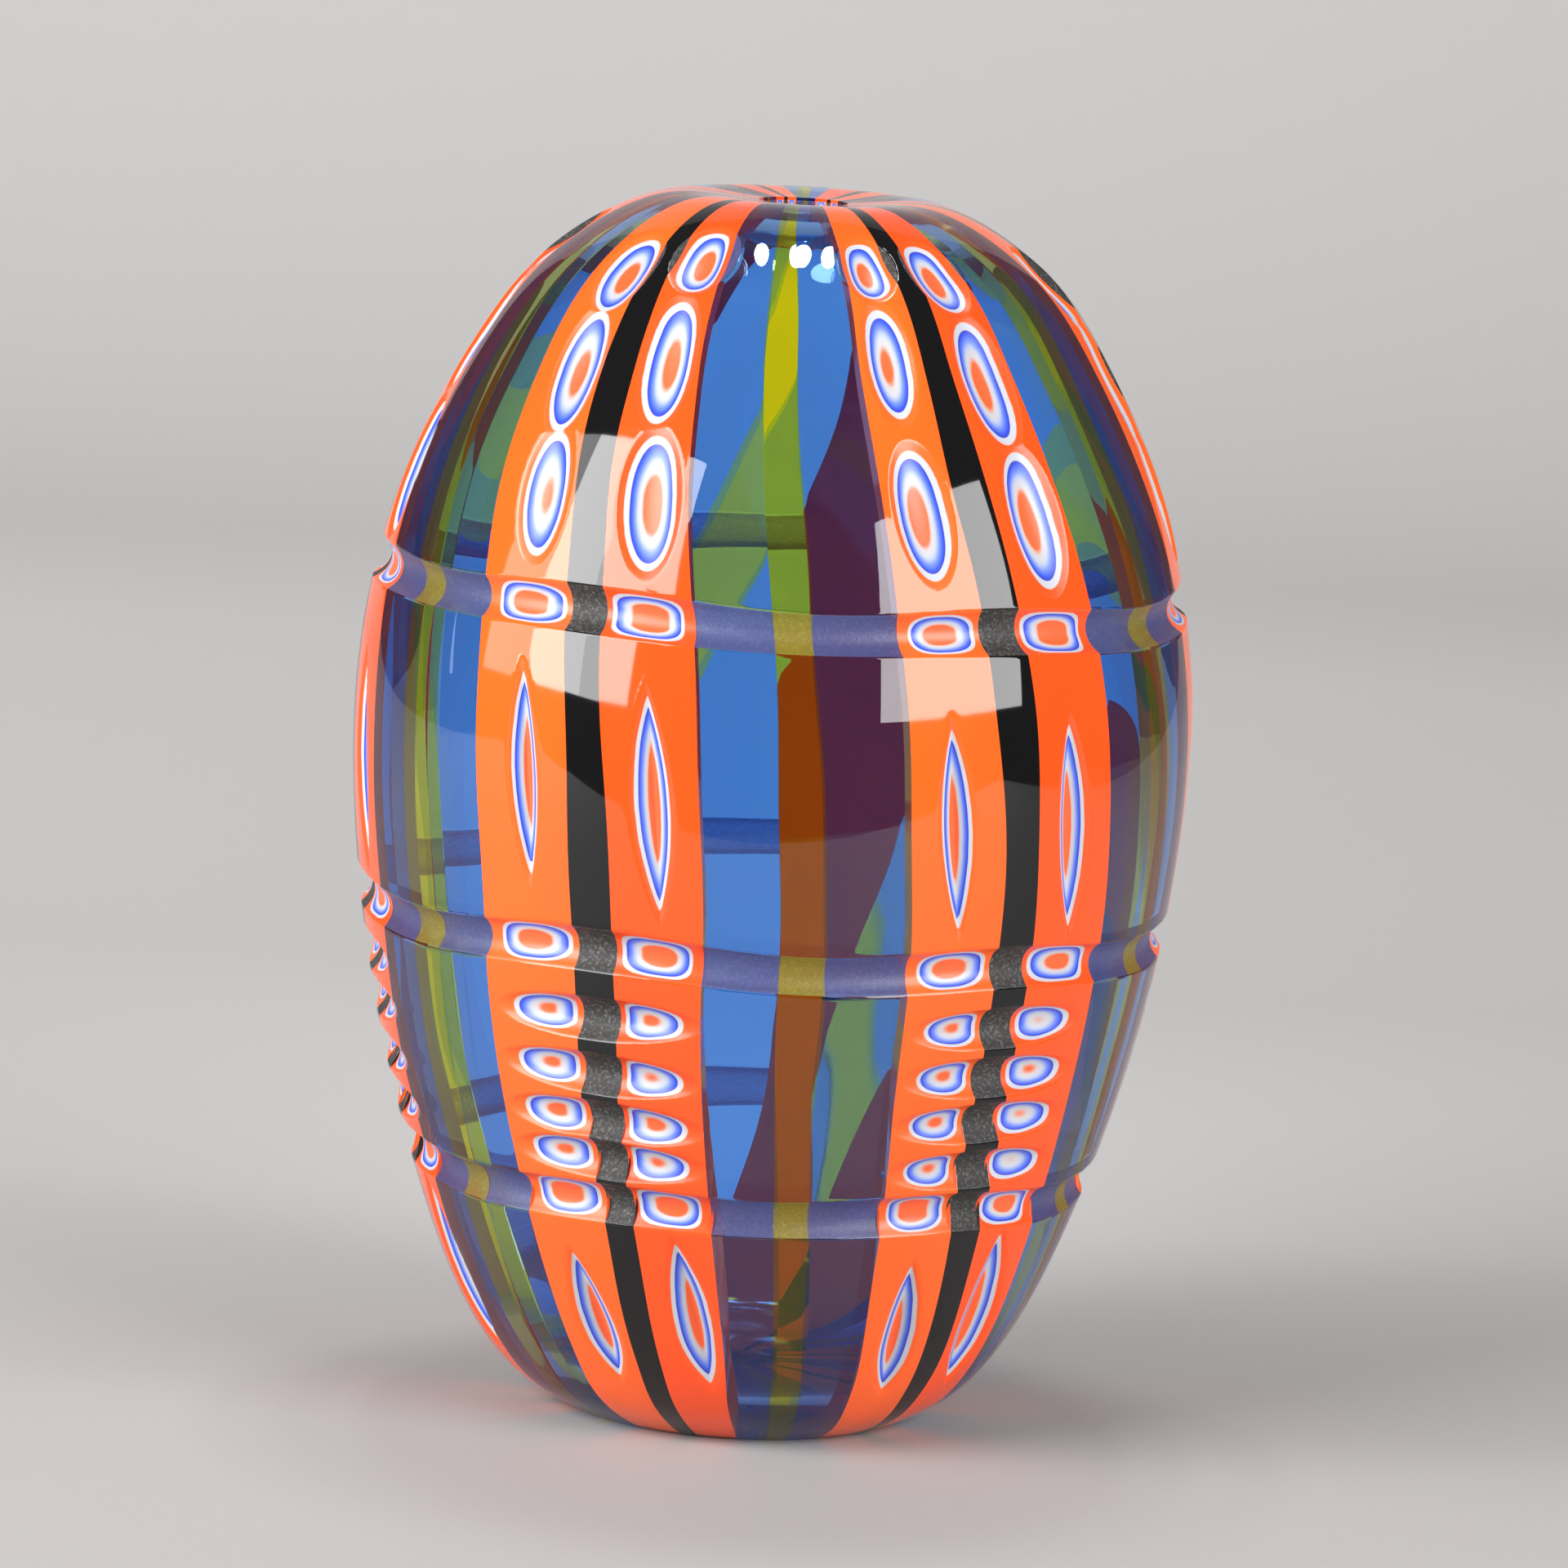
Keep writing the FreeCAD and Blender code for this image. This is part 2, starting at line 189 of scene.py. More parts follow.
def edge_angles(edge):
    """Angle of one boundary between canes at every row, with a slight waver."""
    angle, share, low = edge
    phase = angle * 1.7
    waver = sum(size * np.sin(wall.arc / length + part * phase) for size, length, part in EDGE_WAVERS)
    fade = np.clip(wall.arc / EDGE_FADE, 0, 1)
    return angle + share * np.where(wall.twist > 0, low, 1.0) * wall.twist + waver * fade


# ---------------------------------------------------------------- wheel cuts, as depth over the wall

WHITE_AT = 0.65  # depth where the white layer starts, which is the outline of each ring
NO_WHEEL = -8.0  # depth far from every cut
GROUP_REACH = 45.0  # degrees from the middle of a group within which its cuts are looked at
HOOP_TUBE = 4.9
NOTCH_TUBE = 4.5
BLACK_PHASE = 2.57  # puts the crests of six equal waves on the black canes


def local_mm(theta, arc, radius, angle, height, lean):
    """Distances from a cut's centre, across and along the cane, in mm."""
    along = arc - wall.arc_of(height)
    across = (theta - angle - lean * along + 180.0) % 360.0 - 180.0
    return across * np.radians(1.0) * radius, along


def eye(theta, arc, radius, cut):
    """Oval cut by a round-edged wheel."""
    angle, height, half_width, half_length, depth, lean = cut
    across, along = local_mm(theta, arc, radius, angle, height, lean)
    return depth - (depth - WHITE_AT) * ((across / half_width) ** 2 + (along / half_length) ** 2)


def lens(theta, arc, radius, cut):
    """Pointed cut by a wheel with a V edge, with its own length above and below the deepest point."""
    angle, height, up, down, depth, flank, lean = cut
    across, along = local_mm(theta, arc, radius, angle, height, lean)
    reach = np.where(along > 0, up, down)
    return depth * (1 - (along / reach) ** 2) - flank * np.sqrt(across**2 + 0.02)


def groove(along, depth, tube):
    """Depth of a round-bottomed groove at a distance along the wall from its middle."""
    return depth - (along**2 / (2 * tube) + along**4 / (8 * tube**3))


def notch(theta, arc, cut):
    """Level groove that runs out at both ends."""
    angle, height, half_span, depth, drop = cut
    off = (theta - angle + 180.0) % 360.0 - 180.0
    along = arc - wall.arc_of(height) - drop * off
    return groove(along, depth * (1 - (off / half_span) ** 2), NOTCH_TUBE)


def hoop(theta, arc, cut):
    """Groove all round, deeper across the black canes, that wavers a little."""
    height, depth, swell, phase = cut
    turn = np.radians(theta)
    black = np.cos(6 * turn + BLACK_PHASE)
    waver = 0.7 * black + 0.35 * np.sin(2 * turn + phase) + 0.3 * np.sin(5 * turn + 2 * phase)
    deep = depth + swell * black + 0.1 * np.sin(4 * turn + phase)
    return groove(arc - wall.arc_of(height) - waver, deep, HOOP_TUBE)


# Hoops: height, depth, swell across the black canes, phase of the waver.
HOOPS = [(57.9, 2.75, 0.35, 0.4), (114.3, 2.55, 0.35, 1.9), (187.6, 2.75, 0.4, 3.1)]
# Per group, the cuts of both orange canes, each with its angle and height first.
# Eyes: half width, half length, depth, lean in degrees for a mm.
EYES = {
    0: [
        (-38.4, 211.1, 5.7, 13.9, 2.48, -0.072), (-41.0, 236.7, 5.8, 14.6, 2.6, -0.05),
        (-42.0, 257.3, 6.3, 10.9, 2.7, -0.02), (-20.3, 211.8, 6.3, 14.9, 2.6, -0.07),
        (-23.2, 240.7, 5.8, 14.7, 2.52, -0.05), (-23.9, 261.4, 6.7, 9.6, 2.75, -0.03),
    ],
    1: [
        (21.0, 212.5, 6.1, 14.3, 2.65, -0.09), (17.9, 243.2, 5.0, 13.0, 2.4, -0.07),
        (16.9, 261.6, 5.6, 8.6, 2.6, 0.0), (40.5, 211.3, 6.6, 15.2, 2.6, -0.075),
        (37.2, 239.4, 6.0, 14.6, 2.5, -0.075), (34.4, 260.4, 6.0, 10.1, 2.65, -0.12),
    ],
}
# Lenses: length above and below the deepest point, depth, slope of the flank, lean.
LENSES = {
    0: [
        (-34.4, 151.8, 25.5, 25.5, 3.0, 0.7, -0.07), (-15.3, 148.6, 26.5, 26.5, 3.05, 0.6, -0.072),
        (-27.6, 27.5, 21.5, 15.5, 3.0, 0.55, -0.16), (-7.4, 29.5, 25.5, 17.0, 3.05, 0.51, -0.17),
    ],
    1: [
        (26.2, 145.9, 25.5, 25.5, 2.95, 0.63, -0.075), (45.4, 145.5, 26.0, 26.0, 3.0, 0.61, -0.075),
        (33.2, 27.0, 24.0, 16.0, 2.95, 0.54, -0.105), (52.6, 29.5, 27.0, 18.0, 3.1, 0.48, -0.125),
    ],
}
# Notches: half span in degrees, depth, drop in mm for a degree.
NOTCHES = {
    0: [
        (-23.3, 100.3, 15.9, 3.5, 0.02), (-23.3, 87.8, 16.0, 3.4, -0.03), (-22.8, 77.0, 16.4, 3.5, -0.03),
        (-22.4, 68.2, 16.4, 3.3, -0.02),
    ],
    1: [
        (37.6, 101.4, 15.4, 3.4, 0.02), (37.9, 90.2, 15.9, 3.45, 0.0), (38.1, 79.6, 16.4, 3.35, 0.01),
        (38.7, 68.7, 16.7, 3.25, 0.0),
    ],
}


def spread_cuts():
    """Cuts for the four groups out of sight: those of the first two, turned and slightly varied."""
    vary = np.random.default_rng(SEED)
    for group in range(2, len(EDGES)):
        source = group % 2
        turn = EDGES[group][2][0] - EDGES[source][2][0]

        def moved(cut, angle_jitter, height_jitter):
            cut = list(cut)
            cut[0] += turn + vary.normal(0, angle_jitter)
            cut[1] += vary.normal(0, height_jitter)
            return tuple(cut)

        EYES[group] = [moved(cut, 0.3, 0.9) for cut in EYES[source]]
        LENSES[group] = [moved(cut, 0.3, 1.2) for cut in LENSES[source]]
        NOTCHES[group] = [moved(cut, 0.2, 0.4) for cut in NOTCHES[source]]


spread_cuts()


def cut_depths(theta, arc, radius):
    """Depth of the level grooves and of the oval and pointed cuts, negative where no wheel reached."""
    level = np.full(theta.shape, NO_WHEEL)
    upright = level.copy()
    for cut in HOOPS:
        level = np.maximum(level, hoop(theta, arc, cut))
    middle = float(theta.mean())
    for group in range(len(EDGES)):
        centre = EDGES[group][2][0]
        if abs((middle - centre + 180.0) % 360.0 - 180.0) > GROUP_REACH:
            continue
        for cut in EYES[group]:
            upright = np.maximum(upright, eye(theta, arc, radius, cut))
        for cut in LENSES[group]:
            upright = np.maximum(upright, lens(theta, arc, radius, cut))
        for cut in NOTCHES[group]:
            level = np.maximum(level, notch(theta, arc, cut))
    return level, upright


# Side layers of a cased cane: share of the width where the white starts, at the blue side and at the
# black side, and how far the middle of the rings lies towards the blue side.
SIDE_START = {"blue": 0.12, "black": 0.065}
RING_SKEW = 0.06
RING_DEPTH = 2.1  # from the start of the white to the middle of the core
LEVEL_ROUNDING = {"orange_left": 1.4, "orange_right": 2.0}  # 1 makes oval rings, 2 and more fuller ones
UPRIGHT_ROUNDING = 4.0
RIM_ROUNDING = 2.0


def across_share(share, kind):
    """0 in the middle of the cane's layers and 1 where the white starts at its sides."""
    near, far = ("blue", "black") if kind == "orange_left" else ("black", "blue")
    low, high = SIDE_START[near], 1 - SIDE_START[far]
    middle = (low + high) / 2 + (RING_SKEW if far == "blue" else -RING_SKEW)
    return np.where(share < middle, (middle - share) / (middle - low), (share - middle) / (high - middle))


def ring_layer(depth, across, rounding):
    """Layer that shows: the depth of the cut, closed in by the layers at the cane's sides."""
    along = np.maximum(1 - (depth - WHITE_AT) / RING_DEPTH, 0.0)
    full = (along**rounding + across ** (2 * rounding)) ** (1 / rounding)
    oval = along + across**2
    edge = np.clip(full, 0.0, 1.0)
    outward = edge * full + (1 - edge) * oval
    return WHITE_AT + RING_DEPTH * (1 - outward)


# ---------------------------------------------------------------- meshes

WAVE = 0.04
OUTER_RIB = 0.015
# The waves and the rib fade out over these lengths: start and length above the foot, and length to the mouth.
FOOT_STILL, FOOT_FADE, MOUTH_FADE = 2.0, 10.0, 15.0
# They also fade out beside a cut.
CUT_STILL, CUT_FADE = 0.2, 0.4
RIM_CUT = 0.3  # the rim counts as ground
UNCUT = -1.0

def undulation(theta, arc):
    """Slight waves of blown glass, outwards in mm."""
    turn = np.radians(theta)
    return (
        WAVE * np.sin(arc / 9.0 + 3 * np.sin(turn * 3 + 0.6))
        + WAVE * np.sin(turn * 11 + arc / 31.0)
    )


def swept(radius, height, theta):
    """Points at a radius, height and angle about the axis."""
    angle = np.radians(theta - 90.0)
    return np.stack([radius * np.cos(angle), radius * np.sin(angle), height + 0.0 * theta], axis=-1)


def grid_faces(index):
    """Quads of a grid of vertex numbers."""
    a, b, c, d = index[:-1, :-1], index[:-1, 1:], index[1:, 1:], index[1:, :-1]
    return np.stack([a, b, c, d], axis=-1).reshape(-1, 4)


def outer_face(kind, theta, share):
    """Carved outer face of a cane: its points, the layer that shows and the depth of the cuts."""
    arc = np.repeat(wall.arc[:, None], theta.shape[1], axis=1)
    radius = np.repeat(wall.outer[:, :1], theta.shape[1], axis=1)
    level, upright = cut_depths(theta, arc, radius)
    cut = np.maximum(level, upright)
    rib = OUTER_RIB * (1 - (2 * share - 1) ** 2)
    swell = undulation(theta, arc) + rib
    swell = swell * np.clip((wall.outer[:, 1:] - FOOT_STILL) / FOOT_FADE, 0, 1)
    swell *= np.clip((wall.arc[-1] - arc) / MOUTH_FADE, 0, 1)
    shift = np.where(cut > -CUT_STILL, 0.0, swell) - np.maximum(cut, 0.0)
    beside_cut = (cut > -CUT_STILL - CUT_FADE) & (cut <= -CUT_STILL)
    shift = np.where(beside_cut, swell * (-cut - CUT_STILL) / CUT_FADE, shift)
    points = swept(
        radius + shift * wall.normal[:, :1], wall.outer[:, 1:] + shift * wall.normal[:, 1:], theta
    )
    points[..., 2] = np.maximum(points[..., 2], 0.0)
    layer = cut
    if kind.startswith("orange"):
        beside = across_share(share, kind)
        layer = np.maximum(
            ring_layer(level, beside, LEVEL_ROUNDING[kind]), ring_layer(upright, beside, UPRIGHT_ROUNDING)
        )
    return points, layer, cut


def mouth_rim(kind, theta, share):
    """Ground rim from the outer face down to the inner face: its points and the layer that shows."""
    depth = np.linspace(0.0, 1.0, MOUTH_ROWS + 1)[1:, None]
    around = np.repeat(theta[-1:], MOUTH_ROWS, axis=0)
    height = wall.outer[-1, 1] + (wall.inner[-1, 1] - wall.outer[-1, 1]) * depth
    points = swept(np.full_like(around, wall.outer[-1, 0]), height, around)
    layer = np.zeros_like(around)
    if kind.startswith("orange"):
        thickness = wall.outer[-1, 1] - wall.inner[-1, 1]
        from_faces = RIM_START + np.minimum(depth, 1 - depth) * thickness
        layer += ring_layer(from_faces, across_share(share, kind), RIM_ROUNDING)
    return points, layer


def inner_face(left, right, across):
    """Inner face of a cane, which bulges a little into the vase."""
    steps = np.linspace(0.0, 1.0, across + 1)[None, :]
    theta = left[:-1] + (right[:-1] - left[:-1]) * steps
    width = wall.inner[:-1, :1] * np.radians(right[:-1] - left[:-1])
    bulge = width**2 / (8 * RIB_RADIUS) * (1 - (2 * steps - 1) ** 2)
    return swept(wall.inner[:-1, :1] - bulge, wall.inner[:-1, 1:], theta)


def cane_faces(outer_index, inner_index):
    """Faces of a closed cane, and how many come before those of its two sides."""
    rows = len(inner_index) + 1
    across, across_inside = outer_index.shape[1] - 1, inner_index.shape[1] - 1
    faces = [list(f) for f in grid_faces(outer_index)]
    faces += [list(f[::-1]) for f in grid_faces(inner_index)]
    columns = np.round(np.linspace(0, across, across_inside + 1)).astype(int)
    for j in range(across_inside):
        a, b = columns[j], columns[j + 1]
        top = list(outer_index[-1, a : b + 1])
        faces.append(top + [inner_index[-1, j + 1], inner_index[-1, j]])
        foot = list(outer_index[0, a : b + 1][::-1])
        faces.append(foot + [inner_index[0, j], inner_index[0, j + 1]])
    sides_from = len(faces)
    for column, inside, flip in ((0, 0, False), (across, across_inside, True)):
        for i in range(rows - 2):
            face = [
                outer_index[i, column], outer_index[i + 1, column],
                inner_index[i + 1, inside], inner_index[i, inside],
            ]
            faces.append(face[::-1] if flip else face)
        last = [inner_index[rows - 2, inside]] + list(outer_index[rows - 2 :, column])
        faces.append(last[::-1] if flip else last)
    return faces, sides_from


def mark_sharp(mesh, borders):
    """Keeps a crease along each border, given as the vertices on it."""
    flags = np.zeros(len(mesh.vertices), int)
    for bit, border in enumerate(borders):
        flags[border] |= 1 << bit
    ends = np.empty(len(mesh.edges) * 2, int)
    mesh.edges.foreach_get("vertices", ends)
    ends = ends.reshape(-1, 2)
    sharp = (flags[ends[:, 0]] & flags[ends[:, 1]]) > 0
    attribute = mesh.attributes.new("sharp_edge", "BOOLEAN", "EDGE")
    attribute.data.foreach_set("value", sharp)


def cane_mesh(name, kind, start, end):
    """A closed cane: carved outer face, mouth rim, inner face, sides and foot bore."""
    across, across_inside = COLUMNS[kind.split("_")[0]]
    left, right = edge_angles(start)[:, None], edge_angles(end)[:, None]
    share = np.linspace(0.0, 1.0, across + 1)[None, :]
    theta = left + (right - left) * share
    outer, layer, cut = outer_face(kind, theta, share)
    rim, rim_layer = mouth_rim(kind, theta, share)
    inner = inner_face(left, right, across_inside)
    points = np.concatenate([part.reshape(-1, 3) for part in (outer, rim, inner)])

    rows = wall.rows + MOUTH_ROWS
    outer_index = np.arange(rows * (across + 1)).reshape(rows, across + 1)
    inner_index = outer_index.size + np.arange(inner[..., 0].size).reshape(inner.shape[:2])
    faces, sides_from = cane_faces(outer_index, inner_index)
    layers = np.concatenate([layer.ravel(), rim_layer.ravel(), np.zeros(inner_index.size)])
    cuts = np.concatenate([
        cut.ravel(), np.full(rim_layer.size, RIM_CUT), np.full(inner_index.size, UNCUT),
    ])

    mesh = bpy.data.meshes.new(name)
    mesh.from_pydata((points * MM).tolist(), [], faces, shade_flat=False)
    mark_sharp(mesh, [
        outer_index[:, 0], outer_index[:, -1], inner_index[:, 0], inner_index[:, -1],
        outer_index[wall.rows - 1], outer_index[-1], outer_index[0],
    ])
    for title, values in (("layer", layers), ("cut", cuts)):
        attribute = mesh.attributes.new(title, "FLOAT", "POINT")
        attribute.data.foreach_set("value", values.astype(np.float32))
    slots = np.zeros(len(faces), int)
    slots[sides_from:] = 1
    mesh.polygons.foreach_set("material_index", slots)
    mesh.update()
    mesh.validate()
    return mesh


# ---------------------------------------------------------------- materials


def linear(red, green, blue):
    """A colour given as 0 to 255 display values."""
    parts = [v / 255.0 for v in (red, green, blue)]
    return tuple(v / 12.92 if v <= 0.04045 else ((v + 0.055) / 1.055) ** 2.4 for v in parts) + (1.0,)


class Nodes:
    """Short-hand for building one material's node tree."""

    def __init__(self, name):
        self.material = bpy.data.materials.new(name)
        self.material.use_nodes = True
        self.tree = self.material.node_tree
        self.tree.nodes.clear()
        self.output = self.tree.nodes.new("ShaderNodeOutputMaterial")

    def add(self, kind, **values):
        node = self.tree.nodes.new(kind)
        for key, value in values.items():
            setattr(node, key, value)
        return node

    def link(self, source, target):
        self.tree.links.new(source, target)

    def set(self, socket, value):
        if isinstance(value, bpy.types.NodeSocket):
            self.link(value, socket)
        else:
            socket.default_value = value

    def attribute(self, name):
        node = self.add("ShaderNodeAttribute", attribute_name=name)
        return node.outputs["Fac"]

    def math(self, operation, *inputs, clamp=False):
        node = self.add("ShaderNodeMath", operation=operation, use_clamp=clamp)
        for socket, value in zip(node.inputs, inputs):
            self.set(socket, value)
        return node.outputs[0]

    def span(self, value, low, high, to_low=0.0, to_high=1.0, smooth=True):
        node = self.add(
            "ShaderNodeMapRange", interpolation_type="SMOOTHSTEP" if smooth else "LINEAR", clamp=True
        )
        for socket, number in zip(node.inputs, (value, low, high, to_low, to_high)):
            self.set(socket, number)
        return node.outputs[0]

    def mix(self, factor, first, second, blend="MIX"):
        node = self.add("ShaderNodeMix", data_type="RGBA", blend_type=blend)
        self.set(node.inputs["Factor"], factor)
        self.set(node.inputs["A"], first)
        self.set(node.inputs["B"], second)
        return node.outputs["Result"]

    def ramp(self, factor, stops):
        node = self.add("ShaderNodeValToRGB")
        self.link(factor, node.inputs[0])
        ramp = node.color_ramp
        ramp.elements[0].position, ramp.elements[0].color = stops[0]
        ramp.elements[1].position, ramp.elements[1].color = stops[-1]
        for position, color in stops[1:-1]:
            ramp.elements.new(position).color = color
        return node.outputs["Color"]

    def grey(self, value):
        """Turns a number into a grey."""
        node = self.add("ShaderNodeCombineColor")
        for socket in node.inputs[:3]:
            self.set(socket, value)
        return node.outputs[0]

    def place(self):
        return self.add("ShaderNodeTexCoord").outputs["Object"]

    def noise(self, scale, detail=2.0, roughness=0.5, vector=None):
        node = self.add("ShaderNodeTexNoise")
        self.set(node.inputs["Vector"], vector if vector is not None else self.place())
        node.inputs["Scale"].default_value = scale
        node.inputs["Detail"].default_value = detail
        node.inputs["Roughness"].default_value = roughness
        return node.outputs["Fac"]

    def stretched(self, amounts):
        node = self.add("ShaderNodeMapping")
        self.link(self.place(), node.inputs["Vector"])
        node.inputs["Scale"].default_value = amounts
        return node.outputs["Vector"]

    def bump(self, height, distance, strength=1.0):
        node = self.add("ShaderNodeBump")
        self.link(height, node.inputs["Height"])
        node.inputs["Distance"].default_value = distance
        self.set(node.inputs["Strength"], strength)
        return node.outputs["Normal"]

    def principled(self, **values):
        node = self.add("ShaderNodeBsdfPrincipled")
        for key, value in values.items():
            self.set(node.inputs[key.replace("_", " ")], value)
        return node

    def finish(self, shader):
        self.link(shader, self.output.inputs["Surface"])
        return self.material


GLASS_IOR = 1.5
GRAIN = 1500.0  # scale of the grain that a wheel leaves
SPECK = 1300.0  # scale of the specks in a ground face
GRAIN_HEIGHT = 0.0003
RAMP_DEPTH = 3.0  # the depth in mm that the colours of the layers are spread over
# Share of its tint that glass keeps where the view goes a longer way through it.
DEEP_SHARE = (0.5, 0.56, 0.78)
GLOW = 0.022  # stands for the light that scatters inside the coloured glass
ORANGE = {"orange_left": linear(255, 98, 32), "orange_right": linear(255, 82, 26)}
CORE = linear(252, 98, 50)
BLUE_TINT = (0.32, 0.61, 1.0, 1.0)
YELLOW_TINT = (0.95, 0.92, 0.06, 1.0)
BUTTON_TINT = (0.55, 0.7, 0.9, 1.0)


def frosting(nodes):
    """Share of ground surface, and the grain a wheel leaves."""
    ground = nodes.span(nodes.attribute("cut"), 0.0, 0.1)
    grain = nodes.noise(GRAIN, 3.0, 0.7)
    return ground, grain


def cased_material(name, skin, core):
    """Opaque cased cane: the layers show where a wheel has cut into them."""
    nodes = Nodes(name)
    stops = [
        (0.0, skin), (0.60, skin), (0.66, linear(214, 176, 164)), (0.71, linear(190, 194, 203)),
        (1.04, linear(192, 196, 206)), (1.09, linear(44, 52, 178)), (1.28, linear(56, 86, 214)),
        (1.54, linear(104, 130, 222)), (1.8, linear(172, 182, 208)), (1.94, linear(190, 192, 198)),
        (2.1, linear(194, 188, 190)), (2.18, linear(220, 150, 132)), (2.26, core), (3.0, core),
    ]
    waver = nodes.span(nodes.noise(160.0, 2.0), 0.25, 0.75, -0.035, 0.035, smooth=False)
    layer = nodes.math("ADD", nodes.attribute("layer"), waver)
    level = nodes.math("DIVIDE", layer, RAMP_DEPTH, clamp=True)
    color = nodes.ramp(level, [(at / RAMP_DEPTH, shade) for at, shade in stops])
    ground, grain = frosting(nodes)
    cloud = nodes.span(nodes.noise(22.0, 3.0, vector=nodes.stretched((1, 1, 0.25))), 0.3, 0.7, 0.93, 1.04)
    color = nodes.mix(1.0, color, nodes.grey(cloud), "MULTIPLY")
    rough = nodes.math("ADD", nodes.span(ground, 0, 1, 0.04, 0.34), nodes.math("MULTIPLY", grain, 0.02))
    shader = nodes.principled(
        Base_Color=color,
        Roughness=rough,
        IOR=GLASS_IOR,
        Normal=nodes.bump(grain, 0.00012, nodes.math("MULTIPLY", ground, 0.35)),
    )
    return nodes.finish(shader.outputs[0])


def black_material():
    """Opaque black glass, grey and rough where a wheel has ground it."""
    nodes = Nodes("black_glass")
    ground, grain = frosting(nodes)
    speck = nodes.span(nodes.noise(SPECK, 3.0, 0.8), 0.48, 0.7)
    frost = nodes.mix(speck, linear(44, 43, 42), linear(104, 103, 101))
    rough = nodes.span(ground, 0, 1, 0.03, 0.62)
    shader = nodes.principled(
        Base_Color=nodes.mix(ground, linear(17, 16, 17), frost),
        Roughness=rough,
        IOR=GLASS_IOR,
        Normal=nodes.bump(grain, GRAIN_HEIGHT, nodes.math("MULTIPLY", ground, 0.6)),
    )
    return nodes.finish(shader.outputs[0])


def clear_material(name, tint, frost, glow):
    """Transparent coloured glass, frosted where a wheel has ground it."""
    nodes = Nodes(name)
    ground, grain = frosting(nodes)
    height = nodes.add("ShaderNodeSeparateXYZ")
    nodes.link(nodes.place(), height.inputs[0])
    foot = nodes.span(height.outputs["Z"], 0.004, 0.05, 1.0, 0.0)
    slanting = nodes.add("ShaderNodeLayerWeight").outputs["Facing"]
    deep = nodes.math("MAXIMUM", foot, nodes.span(slanting, 0.2, 0.75))
    tint = nodes.mix(deep, tint, tuple(part * share for part, share in zip(tint, DEEP_SHARE)) + (1.0,))
    speck = nodes.span(nodes.noise(SPECK, 3.0, 0.8), 0.45, 0.75, 0.82, 1.35)
    frost = nodes.mix(1.0, frost, nodes.grey(speck), "MULTIPLY")
    shader = nodes.principled(
        Base_Color=nodes.mix(ground, tint, frost),
        Roughness=nodes.span(ground, 0, 1, 0.0, 0.4),
        IOR=GLASS_IOR,
        Transmission_Weight=nodes.span(ground, 0, 1, 1.0, 0.72),
        Emission_Color=glow,
        Emission_Strength=GLOW,
        Normal=nodes.bump(grain, GRAIN_HEIGHT, nodes.math("MULTIPLY", ground, 0.5)),
    )
    return nodes.finish(shader.outputs[0])


def joint_material():
    """Face where two clear canes are fused, which neither bends nor tints what is seen through it."""
    nodes = Nodes("fused_joint")
    return nodes.finish(nodes.add("ShaderNodeBsdfTransparent").outputs[0])


materials = {
    "button": clear_material("button_glass", BUTTON_TINT, linear(150, 155, 180), (0.0, 0.0, 0.0, 1.0)),
    "orange_left": cased_material("orange_cased_light", ORANGE["orange_left"], CORE),
    "orange_right": cased_material("orange_cased_deep", ORANGE["orange_right"], CORE),
    "black": black_material(),
    "blue": clear_material("blue_glass", BLUE_TINT, linear(110, 116, 178), (0.0, 0.08, 1.0, 1.0)),
    "yellow": clear_material("yellow_glass", YELLOW_TINT, linear(186, 170, 60), (0.5, 0.45, 0.0, 1.0)),
    "joint": joint_material(),
}

# ---------------------------------------------------------------- the vase

CASED_LAYERS = ["white_casings", "blue_casings", "orange_cores"]


def build_canes():
    """The 36 canes. A left orange one also stands for the casings and cores of its group."""
    for group, kind, start, end in cane_list():
        family = kind.split("_")[0]
        node = f"{kind}_{group + 1}"
        piece = bpy.data.objects.new(f"cane_{node}", cane_mesh(f"cane_{node}", kind, start, end))
        bpy.context.collection.objects.link(piece)
        body = materials[kind] if family == "orange" else materials[family]
        piece.data.materials.append(body)
        piece.data.materials.append(materials["joint"] if family in ("blue", "yellow") else body)
        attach(piece, "root")
        stands_for = [node]
        if kind == "orange_left":
            stands_for += [f"{layer}_{group + 1}" for layer in CASED_LAYERS]
        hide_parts(*stands_for)


build_canes()
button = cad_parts["base_button"]
button.data.materials.clear()
button.data.materials.append(materials["button"])

# ---------------------------------------------------------------- stage, lights and camera


STAGE_BACK = 2.6
SWEEP_STEPS = 16
# Painted light and shade on the paper: its brightness against the share of the way to the back, darker at the
# front and paler at the back, which stands for how the light falls on it.
PAPER_PAINTED_LIGHT = [(0.0, 0.41), (0.08, 0.545), (0.21, 0.54), (0.47, 0.79), (0.94, 0.88), (1.0, 0.85)]
PAPER_WARMTH = (1.0, 0.972, 0.955)


def stage_mesh():
    """Floor that sweeps up into a backdrop."""
    front, back, sides, radius, top = -0.62, STAGE_BACK, (-1.4, 1.15), 1.1, 3.2
    profile = [(front, 0.0), (back - radius, 0.0)]
    for step in range(1, SWEEP_STEPS + 1):
        turn = math.pi / 2 * step / SWEEP_STEPS
        profile.append((back - radius + radius * math.sin(turn), radius - radius * math.cos(turn)))
    profile.append((back, top))
    points = [(side, y, z) for y, z in profile for side in sides]
    faces = [(2 * i, 2 * i + 1, 2 * i + 3, 2 * i + 2) for i in range(len(profile) - 1)]
    mesh = bpy.data.meshes.new("studio_floor")
    mesh.from_pydata(points, [], faces, shade_flat=False)
    mesh.update()
    return mesh


